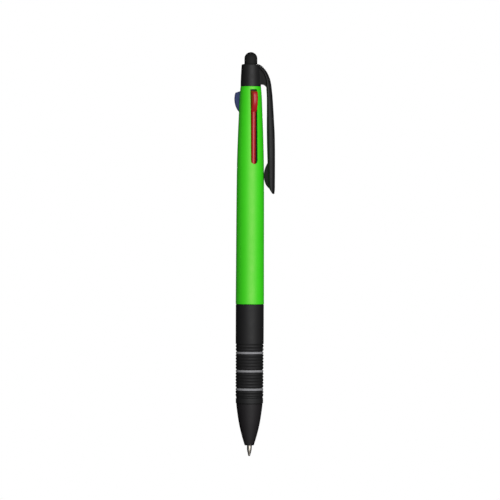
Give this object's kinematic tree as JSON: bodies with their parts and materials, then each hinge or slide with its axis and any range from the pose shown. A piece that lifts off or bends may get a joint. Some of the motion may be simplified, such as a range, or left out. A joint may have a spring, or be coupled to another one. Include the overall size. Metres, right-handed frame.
{
  "type": "multicolor click pen",
  "caption": "Slim ball pen with slide levers that each push out their own refill, a ribbed grip with silver rings, a pocket clip and a soft dome on top.",
  "frame": {"origin": "on the pen's axis, in the flat end face of the nose cone; the point of the refill that is out reaches below it", "axes": "+Z along the pen's axis towards the cap and dome; the lever in front faces -Y and the clip is on the +X side, 12.5 degrees towards -Y"},
  "size_m": [0.0147, 0.0108, 0.144],
  "materials": {
    "green_plastic": "satin moulded plastic, bright green",
    "black_plastic": "satin moulded plastic, black",
    "grip_rubber": "soft ribbed grip, black",
    "stylus_rubber": "matt conductive rubber, black",
    "silver_ring": "plated ring, satin silver",
    "red_plastic": "satin moulded plastic, dark red",
    "blue_plastic": "satin moulded plastic, navy",
    "white_plastic": "plain moulded plastic, off-white",
    "clear_tube": "translucent extruded tube",
    "spring_steel": "drawn spring wire",
    "nickel_silver": "turned nickel silver",
    "ball_carbide": "ground carbide ball",
    "red_ink": "wet paste ink",
    "blue_ink": "wet paste ink",
    "black_ink": "wet paste ink"
  },
  "bodies": {
    "grip_section": {"nose_cone": "black_plastic", "lower_barrel": "black_plastic", "grip_sleeve": "grip_rubber", "grip_ring_bottom": "silver_ring", "grip_ring_middle": "silver_ring", "grip_ring_top": "silver_ring"},
    "barrel_section": {"upper_barrel": "green_plastic", "guide_core": "black_plastic", "spring_guide_plate": "white_plastic", "top_cap": "black_plastic", "stylus_tip": "stylus_rubber", "red_spring": "spring_steel", "blue_spring": "spring_steel"},
    "clip": {"clip_arm": "black_plastic"},
    "red_lever": {"red_slider": "red_plastic"},
    "red_refill": {"red_refill_plug": "white_plastic", "red_refill_tube": "clear_tube", "red_ink": "red_ink", "red_refill_tip": "nickel_silver"},
    "red_ball": {"red_writing_ball": "ball_carbide"},
    "blue_lever": {"blue_slider": "blue_plastic"},
    "blue_refill": {"blue_refill_plug": "white_plastic", "blue_refill_tube": "clear_tube", "blue_ink": "blue_ink", "blue_refill_tip": "nickel_silver"},
    "blue_ball": {"blue_writing_ball": "ball_carbide"},
    "black_spring_end": {"black_spring": "spring_steel"},
    "black_lever": {"black_slider": "black_plastic"},
    "black_refill_seat": {"black_refill_plug": "white_plastic"},
    "black_refill": {"black_refill_tube": "clear_tube", "black_ink": "black_ink", "black_refill_tip": "nickel_silver"},
    "black_ball": {"black_writing_ball": "ball_carbide"}
  },
  "joints": [
    {"name": "barrel_lift", "type": "slide", "parent": "grip_section", "child": "barrel_section", "axis": [0, 0, 1], "range_m": [0, 0.058]},
    {"name": "clip_flex", "type": "hinge", "parent": "barrel_section", "child": "clip", "pos_m": [0.00683, -0.00152, 0.124], "axis": [-0.2164, -0.9763, 0], "range_deg": [0, 4], "stiffness_Nm_per_rad": 2.6},
    {"name": "red_slide", "type": "slide", "parent": "barrel_section", "child": "red_lever", "axis": [0, 0, -1], "range_m": [0, 0.012], "deforming": ["red_spring"]},
    {"name": "red_refill_swing", "type": "hinge", "parent": "red_lever", "child": "red_refill", "pos_m": [0.00072, -0.00229, 0.092], "axis": [0.9537, 0.3007, 0], "range_deg": [0, 1.65]},
    {"name": "red_ball_roll", "type": "hinge", "parent": "red_refill", "child": "red_ball", "pos_m": [0.00072, -0.00229, 0.00838], "axis": [1, 0, 0], "continuous": true},
    {"name": "blue_slide", "type": "slide", "parent": "barrel_section", "child": "blue_lever", "axis": [0, 0, 1], "range_m": [-0.012, 0], "deforming": ["blue_spring"]},
    {"name": "blue_refill_swing", "type": "hinge", "parent": "blue_lever", "child": "blue_refill", "pos_m": [-0.00234, 0.00052, 0.092], "axis": [-0.2164, -0.9763, 0], "range_deg": [0, 1.65]},
    {"name": "blue_ball_roll", "type": "hinge", "parent": "blue_refill", "child": "blue_ball", "pos_m": [-0.00234, 0.00052, 0.00838], "axis": [1, 0, 0], "continuous": true},
    {"name": "black_release_by_red", "type": "slide", "parent": "barrel_section", "child": "black_spring_end", "axis": [0, 0, 1], "range_m": [0, 0.012], "deforming": ["black_spring"]},
    {"name": "black_release_by_blue", "type": "slide", "parent": "black_spring_end", "child": "black_lever", "axis": [0, 0, 1], "range_m": [0, 0.012]},
    {"name": "black_swing_by_red", "type": "hinge", "parent": "black_lever", "child": "black_refill_seat", "pos_m": [0.00162, 0.00177, 0.08], "axis": [-0.7373, 0.6756, 0], "range_deg": [-1.65, 0]},
    {"name": "black_swing_by_blue", "type": "hinge", "parent": "black_refill_seat", "child": "black_refill", "pos_m": [0.00162, 0.00177, 0.08], "axis": [-0.7373, 0.6756, 0], "range_deg": [-1.65, 0]},
    {"name": "black_ball_roll", "type": "hinge", "parent": "black_refill", "child": "black_ball", "pos_m": [0, 0, -0.00359], "axis": [1, 0, 0], "continuous": true}
  ],
  "couplings": [
    {"joint": "red_refill_swing", "follows": "red_slide", "rad_per_m": 2.3911},
    {"joint": "blue_refill_swing", "follows": "blue_slide", "rad_per_m": -2.3911},
    {"joint": "black_release_by_red", "follows": "red_slide", "ratio": 1},
    {"joint": "black_release_by_blue", "follows": "blue_slide", "ratio": -1},
    {"joint": "black_swing_by_red", "follows": "red_slide", "rad_per_m": -2.3911},
    {"joint": "black_swing_by_blue", "follows": "blue_slide", "rad_per_m": 2.3911}
  ]
}
